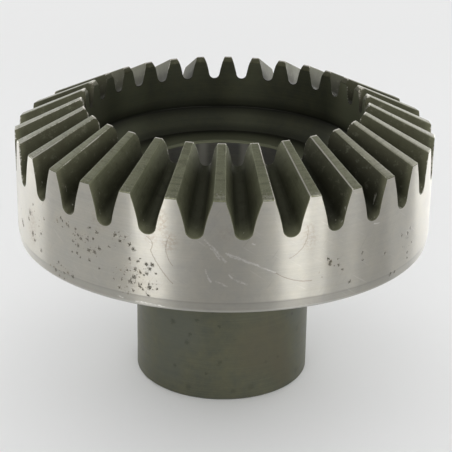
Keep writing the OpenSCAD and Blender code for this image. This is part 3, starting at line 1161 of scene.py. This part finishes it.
@dataclass(frozen=True)
class BrightRim(Finish):
    """Bright turned rim: rust pits, scratches, faint stains, and painted shade and highlight on the
    bevel.
    """

    name: str = "bright_turned_steel"
    colour: Colour = (0.393, 0.378, 0.338)
    metallic: float = 1.0
    roughness: float = 0.30
    specular: float = 0.1
    pit_colour: Colour = (0.052, 0.046, 0.031)
    marks: RimMarks = RimMarks()

    def make(self, effects: SharedEffects) -> bpy.types.Material:
        """Bright steel drawn out by the lathe, marks of use, and painted shade and highlight on the
        bevel.

        Args:
            effects: The shared node groups.

        Returns:
            The rim's material.
        """
        material, sheet, shader, spot = self.start(effects)
        rim = spot.outputs["Rim place"]
        round_mm, up_mm, _ = sheet.split(rim)
        cut = {"Across": up_mm, "Along": round_mm}
        fine = sheet.place(effects.lines, **cut, Pitch=0.3, Length=90.0).outputs[0]
        broad = sheet.place(effects.lines, **cut, Pitch=2.2, Length=160.0).outputs[0]
        blotch = sheet.place(effects.clouds, Place=rim, Size=16.0, Contrast=1.8).outputs[0]
        mottle = sheet.place(effects.clouds, Place=rim, Size=5.0, Contrast=2.2).outputs[0]
        rising = sheet.place(effects.faint, Place=rim, Turn=0.6).outputs[0]
        falling = sheet.place(effects.faint, Place=rim, Turn=-0.95).outputs[0]
        loose = sheet.place(effects.loosen, Place=rim)
        ragged, crumble = loose.outputs["Ragged place"], loose.outputs["Crumble"]
        patches = [self.oval(patch) for patch in self.marks.patches]
        stains = [self.oval(patch) for patch in self.marks.stains]
        share = self.chain(sheet, effects.patch, rim, patches, 0.012)
        few, many = sheet.times(share, 0.4), sheet.times(share, 0.7)
        torn = {"Place": ragged, "Crumble": crumble}
        large = sheet.place(effects.pits, **torn, Cell=2.6, Size=0.85, Share=few)
        small = sheet.place(effects.pits, **torn, Cell=1.15, Size=0.42, Share=many)
        spots = [self.dot(s, crumble) for s in self.marks.spots]
        pit = sheet.larger(large.outputs["Mask"], small.outputs["Mask"])
        pit = self.chain(sheet, effects.spot, ragged, spots, pit)
        pit = sheet.times(pit, sheet.smooth(loose.outputs["Breaks"], 0.3, 0.6, 0.6, 1.0))
        halo = sheet.larger(large.outputs["Halo"], sheet.times(share, 0.25))
        stain = self.chain(sheet, effects.patch, rim, stains, 0.0)
        stain = sheet.times(stain, sheet.smooth(loose.outputs["Breaks"], 0.38, 0.62))
        bevel = sheet.smooth(up_mm, 61.3, 60.9)
        light, dark = (
            self.chain(sheet, effects.scratch, rim, [self.line(m, loose) for m in marks], 0.0)
            for marks in (self.marks.light, self.marks.dark)
        )
        cool, warm = (self.tone(by) for by in ((0.84, 0.86, 0.9), (1.17, 1.15, 1.08)))
        tint = sheet.mix(sheet.blend(0.5, blotch, mottle), cool, warm)
        tint = sheet.lay(tint, rising, 0.3, (0.62, 0.61, 0.58))
        tint = sheet.lay(tint, falling, 0.3, (0.2, 0.185, 0.16))
        tint = sheet.mix(sheet.smooth(fine, 0.3, 0.7, 0.0, 0.15), tint, (0.58, 0.565, 0.54))
        tint = sheet.lay(tint, halo, 0.35, (0.31, 0.265, 0.19))
        tint = sheet.lay(tint, stain, 0.55, (0.24, 0.19, 0.14))
        # Painted shade: a darker band down the rim's bevel, darkest just under its top edge.
        bevel = sheet.times(bevel, sheet.smooth(up_mm, 60.2, 60.9, 0.14, 0.34))
        tint = sheet.mix(bevel, tint, (0.2, 0.2, 0.19))
        # Painted highlight: a lighter strip along the rim's bottom edge, over the chamfer at its
        # foot.
        tint = sheet.mix(sheet.smooth(up_mm, 58.3, 57.9, 0.0, 0.35), tint, (0.6, 0.59, 0.56))
        tint = sheet.lay(tint, light, 0.75, (0.74, 0.73, 0.70))
        tint = sheet.lay(tint, dark, 0.55, (0.16, 0.13, 0.10))
        tint = sheet.lay(tint, pit, 0.95, self.pit_colour)
        sheet.put(shader.inputs["Base Color"], tint)
        sheet.put(shader.inputs["Metallic"], sheet.minus(1.0, sheet.times(pit, 0.9)))
        rough = sheet.times_add(blotch, 0.06, self.roughness - 0.03)
        rough = sheet.times_add(pit, 0.4, sheet.times_add(light, 0.12, rough), clamp=True)
        sheet.put(shader.inputs["Roughness"], rough)
        shader.inputs["Anisotropic"].default_value = 0.95
        shader.inputs["Anisotropic Rotation"].default_value = 0.25
        tangent = sheet.node("ShaderNodeTangent", direction_type="RADIAL", axis="Z")
        sheet.put(shader.inputs["Tangent"], tangent.outputs[0])
        height = sheet.times_add(broad, 0.35, sheet.times_add(fine, 0.5, mottle))
        height = sheet.times_add(pit, -6.0, height)
        height = sheet.times_add(sheet.larger(light, dark), -1.2, height)
        self.bump(sheet, shader, height, 0.5)
        return material

    def line(self, mark: RimScratch, loose: bpy.types.Node) -> dict[str, Value]:
        """Inputs of the scratch group for one scratch."""
        shared = {key: loose.outputs[key] for key in ("Loose place", "Crumble", "Breaks")}
        ends = {"Start": (*mark.start, 0.0), "Stop": (*mark.stop, 0.0)}
        form = {"Width": mark.width, "Waver": mark.waver, "Gaps": mark.gaps, "Bend": mark.bend}
        return {**shared, **ends, **form}


@dataclass(frozen=True)
class SatinTeeth(Finish):
    """Dark satin teeth: bright edges from wear and painted highlight, painted shade and dirt in the
    roots.
    """

    name: str = "dark_satin_teeth"
    colour: Colour = (0.133, 0.14, 0.084)
    metallic: float = 0.7
    roughness: float = 0.40
    specular: float = 0.3
    # Colour of the bright edges: bare metal from wear, and painted highlight.
    worn_and_highlight_colour: Colour = (0.44, 0.425, 0.375)

    def make(self, effects: SharedEffects, gear: GearBody) -> bpy.types.Material:
        """Dark steel, lighter on the lands; flanks and roots darker with painted shade, dirt and
        oily film.

        The depth in the tooth space is the fall of a place, (apex - height) / radius, taken from
        the tip's fall to the root's.

        Args:
            effects: The shared node groups.
            gear: The gear, for its cones.

        Returns:
            The teeth's material.
        """
        material, sheet, shader, spot = self.start(effects)
        solid, radius, height = (spot.outputs[key] for key in ("Solid place", "Radius", "Height"))
        fall = sheet.over(sheet.minus(gear.apex, height), radius)
        tip = gear.teeth.tip_fall
        depth = sheet.smooth(fall, tip + 0.0, tip + 0.15)
        land = sheet.smooth(fall, tip + 0.006, tip + 0.001)
        gap = sheet.node("ShaderNodeAttribute", attribute_name="tip_gap").outputs["Fac"]
        round_mm, _, _ = sheet.split(spot.outputs["Rim place"])
        blotch = sheet.place(effects.clouds, Place=solid, Size=7.0, Contrast=2.6).outputs[0]
        mottle = sheet.place(effects.clouds, Place=solid, Size=2.4, Contrast=2.6).outputs[0]
        down, over_land = {"Along": radius}, {"Along": round_mm}
        down |= {"Across": sheet.times(fall, 60.0), "Pitch": 0.5, "Length": 14.0}
        over_land |= {"Across": radius, "Pitch": 0.75, "Length": 30.0}
        planed, turned = (
            sheet.place(effects.lines, **run).outputs[0] for run in (down, over_land)
        )
        lines = sheet.blend(land, planed, turned)
        side = sheet.node("ShaderNodeAttribute", attribute_name="tooth_side").outputs["Fac"]
        end_gap = sheet.node("ShaderNodeAttribute", attribute_name="inner_gap").outputs["Fac"]
        # Bright tip edges, partly wear and partly painted highlight: left edges on the right-hand
        # teeth, right edges just right of the front and on the left-hand teeth.
        left = sheet.smooth(side, 0.3, -0.3)
        fading = sheet.smooth(round_mm, 70.0, 44.0, 0.3, 1.0)
        edge_wear_and_highlight = sheet.times(sheet.smooth(round_mm, 21.0, 27.0), fading)
        edge_wear_and_highlight = sheet.times(edge_wear_and_highlight, sheet.smooth(round_mm, 112.0, 92.0))
        middle = sheet.times(sheet.smooth(round_mm, 8.0, 12.0), sheet.smooth(round_mm, 27.0, 21.0))
        beyond = sheet.smooth(round_mm, -130.0, -118.0)
        beyond = sheet.times(beyond, sheet.smooth(round_mm, -48.0, -62.0))
        edge_wear_and_highlight = sheet.blend(left, sheet.times(sheet.plus(middle, beyond), 0.7), edge_wear_and_highlight)
        share = sheet.times_add(edge_wear_and_highlight, 0.85, 0.15)
        worn_and_highlight = sheet.place(effects.wear, Gap=gap, Place=solid, Width=0.36, Share=share).outputs[0]
        outer = sheet.minus(gear.teeth.rim_radius, radius)
        aside = sheet.math("ABSOLUTE", round_mm)
        nicked = sheet.smooth(aside, 70.0, 100.0, 0.25, 0.6)
        chips = sheet.place(effects.wear, Gap=outer, Place=solid, Width=0.8, Share=nicked)
        at_end = sheet.smooth(fall, tip + 0.02, tip, 0.5, 1.1)
        struck = sheet.times(sheet.smooth(aside, 124.0, 132.0), sheet.smooth(aside, 156.0, 148.0))
        end_width = sheet.blend(struck, 0.7, 2.2)
        ends = sheet.place(effects.wear, Gap=end_gap, Place=solid, Width=end_width, Share=at_end)
        inner = sheet.times(ends.outputs[0], 0.95)
        bright = sheet.larger(worn_and_highlight, sheet.larger(chips.outputs[0], inner))
        tint = sheet.mix(blotch, self.tone(0.82), self.tone(1.2))
        tint = sheet.mix(sheet.smooth(lines, 0.35, 0.75, 0.0, 0.4), tint, (0.235, 0.237, 0.168))
        tint = sheet.lay(tint, land, 0.2, (0.19, 0.195, 0.136))
        # Painted reflection: the lands of the right-hand teeth paler.
        pale = sheet.times(land, sheet.smooth(round_mm, 38.0, 75.0, 0.0, 0.42))
        tint = sheet.mix(pale, tint, (0.29, 0.276, 0.232))
        # Painted shade: the lands of the left-hand teeth darker.
        left_land_shade = sheet.times(land, sheet.smooth(round_mm, -50.0, -85.0, 0.0, 0.4))
        tint = sheet.mix(left_land_shade, tint, (0.1, 0.095, 0.072))
        scored = sheet.times(land, sheet.smooth(turned, 0.5, 0.25, 0.0, 0.5))
        tint = sheet.mix(scored, tint, (0.062, 0.06, 0.044))
        # Painted shade: flanks darker than the lands, more on the teeth to either side and deeper
        # down.
        upper = sheet.smooth(aside, 30.0, 70.0, 0.32, 0.84)
        lower = sheet.smooth(aside, 26.0, 66.0, 0.5, 0.9)
        dark_share = sheet.blend(sheet.smooth(fall, tip, tip + 0.1), upper, lower)
        shade = sheet.times(sheet.smooth(land, 1.0, 0.0), dark_share)
        tint = sheet.mix(shade, tint, (0.0345, 0.0335, 0.0185))
        # Painted shade: deeper still on the flanks of the teeth right of the front.
        near_right = sheet.smooth(round_mm, 27.0, 42.0)
        near_right = sheet.times(near_right, sheet.smooth(round_mm, 96.0, 66.0))
        near_right = sheet.times(near_right, sheet.smooth(land, 1.0, 0.0, 0.0, 0.55))
        tint = sheet.mix(near_right, tint, (0.0205, 0.0205, 0.0135))
        struck_end = sheet.times(struck, sheet.smooth(end_gap, 2.5, 0.2, 0.0, 0.5))
        tint = sheet.mix(struck_end, tint, (0.14, 0.132, 0.095))
        tint = sheet.mix(sheet.smooth(mottle, 0.5, 0.0, 0.0, 0.4), tint, (0.03, 0.026, 0.0145))
        tint = sheet.mix(sheet.smooth(mottle, 0.6, 1.0, 0.0, 0.3), tint, (0.19, 0.186, 0.14))
        # Painted shade with some dirt: darker deep in the tooth spaces, less so towards their outer
        # ends.
        grime_and_shade = sheet.times(depth, sheet.smooth(outer, 0.3, 4.0, 0.1, 0.2))
        tint = sheet.mix(grime_and_shade, tint, (0.014, 0.0145, 0.012))
        # Painted shade, partly an oily film: the root floors near black, less so towards their
        # outer ends.
        oil_and_shade = sheet.smooth(fall, tip + 0.12, tip + 0.168)
        oil_and_shade = sheet.times(oil_and_shade, sheet.smooth(outer, 0.5, 7.0, 0.0, 0.45))
        tint = sheet.mix(oil_and_shade, tint, (0.006, 0.0065, 0.006))
        lip = sheet.times(sheet.smooth(outer, 3.2, 0.3, 0.0, 0.42), sheet.smooth(land, 1.0, 0.0))
        tint = sheet.mix(lip, tint, (0.14, 0.142, 0.09))
        scuff = sheet.place(effects.wear, Gap=outer, Place=solid, Width=8.0, Share=0.5).outputs[0]
        tint = sheet.mix(sheet.times(sheet.times(scuff, land), 0.7), tint, (0.33, 0.32, 0.28))
        near_rim = sheet.smooth(outer, 6.0, 0.6, 0.012, 0.36)
        near_rim = sheet.times(near_rim, sheet.smooth(depth, 0.2, 0.7))
        loose = sheet.place(effects.loosen, Place=sheet.vector(round_mm, radius))
        ragged, crumble = loose.outputs["Ragged place"], loose.outputs["Crumble"]
        grain = sheet.times(land, sheet.smooth(crumble, 0.45, 0.7, 0.0, 0.3))
        tint = sheet.mix(grain, tint, (0.31, 0.305, 0.25))
        torn = {"Place": ragged, "Crumble": crumble}
        specks = sheet.place(effects.pits, **torn, Cell=1.2, Size=0.3, Share=near_rim)
        tint = sheet.mix(sheet.times(specks.outputs["Mask"], 0.55), tint, (0.36, 0.35, 0.30))
        # Bright edges: bare metal from wear, and painted highlight where the edges face the lamps.
        tint = sheet.mix(bright, tint, self.worn_and_highlight_colour)
        sheet.put(shader.inputs["Base Color"], tint)
        bare = sheet.times_add(bright, 1.0 - self.metallic, self.metallic)
        sheet.put(shader.inputs["Metallic"], bare)
        rough = sheet.times_add(blotch, 0.12, self.roughness - 0.06)
        sheet.put(shader.inputs["Roughness"], sheet.times_add(sheet.minus(1.0, land), 0.18, rough))
        self.bump(sheet, shader, sheet.times_add(mottle, 1.2, lines), 0.4)
        return material


@dataclass(frozen=True)
class LightAndShadeRing:
    """Band round the axis that is darker or lighter: painted shade in a crease, or painted light on
    a face or edge.
    """

    radius: float
    height: float
    reach: float
    share: float
    gain: float


@dataclass(frozen=True)
class HighlightStreak:
    """Painted highlight: a soft lighter streak down a turned face, to the right of the axis and
    above a height.
    """

    right: float
    half: float
    share: float
    above: float = 0.0


@dataclass(frozen=True)
class SatinTurned(Finish):
    """Dark satin turned faces: the dish, the bore, or the hub with its back face."""

    line_pitch: float = 0.6
    blotch_size: float = 16.0
    spots: tuple[RimSpot, ...] = ()
    cool: tuple[RimPatch, ...] = ()
    warm: tuple[RimPatch, ...] = ()
    light_and_shade_rings: tuple[LightAndShadeRing, ...] = ()
    highlight_streaks: tuple[HighlightStreak, ...] = ()

    def make(self, effects: SharedEffects) -> bpy.types.Material:
        """Dark steel with tool lines round the axis, soft blotches, painted highlight and shade
        bands and, on the hub, dark spots.

        Args:
            effects: The shared node groups.

        Returns:
            The material.
        """
        material, sheet, shader, spot = self.start(effects)
        solid, radius, height = (spot.outputs[key] for key in ("Solid place", "Radius", "Height"))
        round_mm, _, _ = sheet.split(spot.outputs["Rim place"])
        across = sheet.plus(radius, height)
        cut = {"Across": across, "Along": round_mm, "Pitch": self.line_pitch, "Length": 70.0}
        lines = sheet.place(effects.lines, **cut).outputs[0]
        broad = {"Place": solid, "Size": self.blotch_size, "Contrast": 1.7}
        blotch = sheet.place(effects.clouds, **broad).outputs[0]
        cool, warm = (self.tone(by) for by in ((0.74, 0.79, 0.93), (1.26, 1.21, 1.07)))
        mottle = sheet.place(effects.clouds, Place=solid, Size=3.5, Contrast=3.4).outputs[0]
        tint = sheet.mix(sheet.blend(0.45, blotch, mottle), cool, warm)
        tint = sheet.mix(sheet.smooth(lines, 0.35, 0.75, 0.0, 0.25), tint, self.tone(1.7))
        if self.spots:
            flat = sheet.vector(sheet.times(round_mm, 0.43), height)
            loose = sheet.place(effects.loosen, Place=flat)
            ragged, crumble = loose.outputs["Ragged place"], loose.outputs["Crumble"]
            torn = {"Place": ragged, "Crumble": crumble}
            strewn = sheet.place(effects.pits, **torn, Cell=6.0, Size=1.1, Share=0.2)
            for patches, gains in ((self.cool, (1.0, 1.05, 1.27)), (self.warm, (1.11, 0.98, 0.93))):
                ovals = [self.oval(patch) for patch in patches]
                mask = self.chain(sheet, effects.patch, ragged, ovals, 0.0)
                tint = sheet.mix(mask, tint, self.tone(gains))
            dots = [self.dot(mark, crumble) for mark in self.spots]
            marks = self.chain(sheet, effects.spot, ragged, dots, 0.0)
            marks = sheet.larger(marks, sheet.times(strewn.outputs["Halo"], 0.6))
            tint = sheet.lay(tint, marks, 0.5, self.tone(0.4))
        right, _, _ = sheet.split(solid)
        # Painted highlight: each lighter streak down the face.
        for streak in self.highlight_streaks:
            beside = sheet.math("ABSOLUTE", sheet.minus(right, streak.right))
            mask = sheet.smooth(beside, streak.half, 0.1 * streak.half, 0.0, streak.share)
            mask = sheet.times(mask, sheet.smooth(height, streak.above, streak.above + 1.0))
            tint = sheet.mix(mask, tint, self.tone(3.0))
        section = sheet.vector(radius, height)
        # Painted light and shade: bands darker in the creases and lighter at the bore's mouth.
        for ring in self.light_and_shade_rings:
            middle = (ring.radius, ring.height, 0.0)
            beside = sheet.along("DISTANCE", section, middle).outputs["Value"]
            mask = sheet.smooth(beside, ring.reach, 0.2 * ring.reach, 0.0, ring.share)
            tint = sheet.mix(mask, tint, self.tone(ring.gain))
        sheet.put(shader.inputs["Base Color"], tint)
        sheet.put(shader.inputs["Roughness"], sheet.times_add(blotch, 0.14, self.roughness - 0.07))
        self.bump(sheet, shader, sheet.times_add(blotch, 0.6, lines), 0.3)
        return material


class LampRole(Enum):
    """What a lamp is for: lighting the room, or a panel that only the steel mirrors."""

    FILL = "fill"
    PANEL = "panel"


@dataclass(frozen=True)
class Lamp:
    """Soft rectangular lamp, given by its turn from the front, height, distance and size."""

    name: str
    role: LampRole
    turn_deg: float
    elevation_deg: float
    distance: float
    width: float
    height: float
    brightness: float

    def build(self) -> bpy.types.Object:
        """Hangs the lamp, facing the gear.

        An area lamp's brightness is its power over pi times its area.

        Returns:
            The lamp.
        """
        data = bpy.data.lights.new(self.name, "AREA")
        data.shape = "RECTANGLE"
        data.size, data.size_y = self.width, self.height
        data.energy = self.brightness * math.pi * self.width * self.height
        lamp = bpy.data.objects.new(self.name, data)
        turn, rise = math.radians(self.turn_deg), math.radians(self.elevation_deg)
        level = math.cos(rise)
        away = Vector((math.sin(turn) * level, -math.cos(turn) * level, math.sin(rise)))
        lamp.location = Vector((0.0, 0.0, 0.06)) + away * self.distance
        lamp.rotation_euler = away.to_track_quat("Z", "Y").to_euler()
        lamp.visible_camera = False
        lamp.visible_glossy = self.role is LampRole.PANEL
        lamp.visible_diffuse = self.role is LampRole.FILL
        bpy.context.scene.collection.objects.link(lamp)
        return lamp


@dataclass(frozen=True)
class GreyCard:
    """Grey card on the table, seen only where the steel mirrors it."""

    name: str
    low: tuple[float, float]
    high: tuple[float, float]
    grey: float

    def build(self) -> bpy.types.Object:
        """Lays the card just over the table.

        Returns:
            The card.
        """
        (x0, y0), (x1, y1) = self.low, self.high
        points = np.array([(x0, y0, 0.0), (x1, y0, 0.0), (x1, y1, 0.0), (x0, y1, 0.0)])
        mesh = mesh_from(self.name, points, np.array([[0, 1, 2, 3]]))
        card = bpy.data.objects.new(self.name, mesh)
        card.location.z = 0.0004
        bpy.context.scene.collection.objects.link(card)
        card.visible_camera = card.visible_diffuse = False
        card.visible_shadow = card.visible_transmission = False
        material = bpy.data.materials.new(self.name)
        material.use_nodes = True
        shader = material.node_tree.nodes["Principled BSDF"]
        shader.inputs["Base Color"].default_value = (self.grey, self.grey, self.grey, 1.0)
        shader.inputs["Roughness"].default_value = 0.9
        card.data.materials.append(material)
        return card


@dataclass
class Studio:
    """Pale table, grey room and soft lamps."""

    table_half: float = 20.0
    table_colour: Colour = (0.885, 0.888, 0.888)
    far_from: float = 0.36
    far_to: float = 0.66
    far_colour: Colour = (0.825, 0.828, 0.828)
    cards: tuple[GreyCard, ...] = (
        GreyCard("front_card", (-0.062, -0.62), (0.062, -0.12), 0.53),
        GreyCard("right_card", (0.13, -0.085), (0.45, -0.01), 0.62),
    )
    lamps: tuple[Lamp, ...] = (
        Lamp("front_fill", LampRole.FILL, 0.0, 22.0, 1.0, 1.2, 0.6, 2.8),
        Lamp("left_fill", LampRole.FILL, -75.0, 10.0, 1.0, 1.2, 0.4, 1.8),
        Lamp("right_fill", LampRole.FILL, 75.0, 10.0, 1.0, 1.2, 0.4, 1.9),
        Lamp("left_rear_fill", LampRole.FILL, -130.0, 30.0, 1.1, 0.8, 0.8, 0.85),
        Lamp("right_rear_fill", LampRole.FILL, 130.0, 30.0, 1.1, 0.8, 0.8, 1.1),
        Lamp("left_panel", LampRole.PANEL, -34.2, 22.0, 0.52, 0.158, 0.5, 5.15),
        Lamp("right_panel", LampRole.PANEL, 36.6, 22.0, 0.52, 0.13, 0.5, 5.0),
        Lamp("right_strip", LampRole.PANEL, 49.0, 22.0, 0.52, 0.045, 0.5, 6.0),
        Lamp("left_rear_panel", LampRole.PANEL, -118.7, 3.0, 0.6, 0.375, 0.13, 7.3),
        Lamp("right_faint_panel", LampRole.PANEL, 66.5, 22.0, 0.52, 0.06, 0.5, 1.3),
        Lamp("right_rear_panel", LampRole.PANEL, 131.0, 3.0, 0.6, 0.33, 0.13, 10.0),
    )

    def table(self) -> bpy.types.Object:
        """Flat square table under the gear, as a grid of x and y.

        Returns:
            The table.
        """
        line = np.linspace(-self.table_half, self.table_half, 25)
        x, y = np.meshgrid(line, line, indexing="ij")
        points = np.stack([x, y, np.full_like(x, -0.0001)], 2).reshape(-1, 3)
        i, j = np.meshgrid(np.arange(24), np.arange(24), indexing="ij")
        first = (i * 25 + j).ravel()
        faces = np.stack([first, first + 25, first + 26, first + 1], 1)
        table = bpy.data.objects.new("table", mesh_from("table", points, faces))
        bpy.context.scene.collection.objects.link(table)
        material = bpy.data.materials.new("pale_paper")
        material.use_nodes = True
        shader = material.node_tree.nodes["Principled BSDF"]
        shader.inputs["Base Color"].default_value = (*self.table_colour, 1.0)
        shader.inputs["Roughness"].default_value = 0.9
        shader.inputs["Specular IOR Level"].default_value = 0.1
        table.data.materials.append(material)
        self.even_far_part(material)
        return table

    def even_far_part(self, material: bpy.types.Material) -> None:
        """Shows the far part of the table in one pale tone, to the eye and in the steel.

        Args:
            material: The table's material.
        """
        sheet = NodeSheet(material.node_tree)
        coords = sheet.node("ShaderNodeTexCoord")
        away = sheet.along("DISTANCE", coords.outputs["Object"], ORIGIN).outputs["Value"]
        path = sheet.node("ShaderNodeLightPath")
        seen: Value = path.outputs["Is Camera Ray"]
        for ray in ("Is Glossy Ray", "Is Transmission Ray"):
            seen = sheet.larger(seen, path.outputs[ray])
        tone = sheet.node("ShaderNodeEmission")
        tone.inputs["Color"].default_value = (*self.far_colour, 1.0)
        pick = sheet.node("ShaderNodeMixShader")
        sheet.put(pick.inputs[0], sheet.times(seen, sheet.smooth(away, self.far_from, self.far_to)))
        sheet.put(pick.inputs[1], material.node_tree.nodes["Principled BSDF"].outputs[0])
        sheet.put(pick.inputs[2], tone.outputs[0])
        sheet.put(material.node_tree.nodes["Material Output"].inputs["Surface"], pick.outputs[0])

    def room(self) -> None:
        """Room light by direction: dim in front and overhead, dimmer right, bright behind."""
        world = bpy.data.worlds.new("room")
        world.use_nodes = True
        bpy.context.scene.world = world
        sheet = NodeSheet(world.node_tree)
        coords = sheet.node("ShaderNodeTexCoord")
        x, y, z = sheet.split(coords.outputs["Generated"])
        level = sheet.blend(sheet.smooth(y, -0.6, 0.1), 0.13, 0.62)
        level = sheet.blend(sheet.smooth(y, 0.3, 0.85), level, 2.0)
        level = sheet.blend(sheet.smooth(z, 0.35, 0.95), level, 0.4)
        level = sheet.times(level, sheet.smooth(x, 0.6, 0.95, 1.0, 0.75))
        light = world.node_tree.nodes["Background"]
        sheet.put(light.inputs["Color"], level)
        light.inputs["Strength"].default_value = 1.0

    def build(self) -> None:
        """Sets up the table, the room, the cards and the lamps."""
        self.table()
        self.room()
        for item in (*self.cards, *self.lamps):
            item.build()


@dataclass(frozen=True)
class PhotoCamera:
    """Camera at the photograph's view, found by fitting the gear's corners to it."""

    focal_px: float = 1508.9
    image_px: int = 452
    distance: float = 574.46
    elevation_deg: float = 22.33
    roll_deg: float = 0.878
    turn_deg: float = 0.887
    aim: tuple[float, float, float] = (1.0, 0.0, 57.07)

    def build(self) -> bpy.types.Object:
        """Places the camera on a sphere round its aim and rolls it about its own axis.

        Returns:
            The camera, set as the scene's own.
        """
        data = bpy.data.cameras.new("photo_camera")
        data.sensor_width = 36.0
        data.lens = 36.0 * self.focal_px / self.image_px
        data.clip_start, data.clip_end = 0.02, 50.0
        rise, roll = math.radians(self.elevation_deg), math.radians(self.roll_deg)
        back = Vector((0.0, -math.cos(rise), math.sin(rise)))
        side = Vector((1.0, 0.0, 0.0))
        up = back.cross(side)
        right = side * math.cos(roll) + up * math.sin(roll)
        top = up * math.cos(roll) - side * math.sin(roll)
        place = (Vector(self.aim) + back * self.distance) * MM
        frame_axes = Matrix((right, top, back)).transposed().to_4x4()
        turned = Matrix.Rotation(math.radians(self.turn_deg), 4, "Z")
        camera = bpy.data.objects.new("photo_camera", data)
        camera.matrix_world = turned @ Matrix.Translation(place) @ frame_axes
        bpy.context.scene.collection.objects.link(camera)
        bpy.context.scene.camera = camera
        return camera


def make_finishes(gear: GearBody) -> dict[Zone, bpy.types.Material]:
    """Material of each zone of the gear."""
    effects = SharedEffects()
    blank, floor = gear.blank, gear.blank.floor_height
    wall_foot = (gear.dish_radius, floor + blank.dish_cone_height)
    cone_foot = (gear.dish_radius - blank.dish_cone_width, floor)
    mouth = (blank.counterbore_radius + 0.5 * blank.mouth_edge, floor - 0.5 * blank.mouth_edge)
    # Painted light and shade on the dish: the floor lighter towards the bore's mouth and a lighter
    # line on its edge, painted shade in the creases at the feet of the wall and the cone.
    light_and_shade_rings = (
        LightAndShadeRing(*mouth, 11.0, 0.75, 3.2),
        LightAndShadeRing(*wall_foot, 5.0, 0.6, 0.2),
        LightAndShadeRing(*wall_foot, 1.4, 0.7, 0.1),
        LightAndShadeRing(*cone_foot, 4.5, 0.6, 0.2),
        LightAndShadeRing(*mouth, 1.6, 0.2, 3.6),
    )
    # Painted highlights on the dish, where its cone and wall mirror the light.
    patches = (
        HighlightStreak(7.0, 12.0, 0.2),
        HighlightStreak(-38.0, 9.0, 0.3),
        HighlightStreak(48.0, 10.0, 0.85),
        HighlightStreak(-50.0, 7.0, 0.4),
    )
    dish = SatinTurned(
        "dark_satin_dish",
        (0.044, 0.0462, 0.0295),
        metallic=0.6,
        roughness=0.42,
        specular=0.25,
        line_pitch=0.7,
        blotch_size=18.0,
        light_and_shade_rings=light_and_shade_rings,
        highlight_streaks=patches,
    )
    ledge = floor - blank.counterbore_depth
    # Painted highlights down the bore, above the ledge.
    shines = (HighlightStreak(-9.0, 3.0, 0.6, ledge), HighlightStreak(7.5, 3.0, 0.6, ledge))
    bore = SatinTurned(
        "ground_bore",
        (0.145, 0.143, 0.124),
        metallic=0.5,
        roughness=0.4,
        specular=0.5,
        line_pitch=0.35,
        blotch_size=40.0,
        highlight_streaks=shines,
    )
    hub = SatinTurned(
        "dark_satin_hub",
        (0.079, 0.0805, 0.0535),
        metallic=0.55,
        roughness=0.46,
        specular=0.5,
        line_pitch=0.5,
        blotch_size=14.0,
        spots=HUB_SPOTS,
        cool=HUB_COOL,
        warm=HUB_WARM,
    )
    return {
        Zone.RIM: BrightRim("bright_rim_middle", marks=MIDDLE_MARKS).make(effects),
        Zone.RIM_LEFT: BrightRim("bright_rim_left", marks=LEFT_MARKS).make(effects),
        Zone.RIM_RIGHT: BrightRim("bright_rim_right", marks=RIGHT_MARKS).make(effects),
        Zone.RIM_REAR: BrightRim("bright_rim_rear", marks=REAR_MARKS).make(effects),
        Zone.TEETH: SatinTeeth().make(effects, gear),
        Zone.DISH: dish.make(effects),
        Zone.BORE: bore.make(effects),
        Zone.HUB: hub.make(effects),
    }


def main() -> None:
    """Builds camera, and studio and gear."""
    logging.basicConfig(level=logging.INFO, format="%(name)s: %(message)s")
    bpy.context.scene.view_settings.view_transform = "Standard"
    PhotoCamera().build()
    LOG.info("camera placed")
    Studio().build()
    LOG.info("studio set")
    gear = GearBody()
    body = gear.build()
    gear.dress(body, make_finishes(gear))
    LOG.info("%s: %d faces", body.name, len(body.data.polygons))


if __name__ == "__main__":
    main()
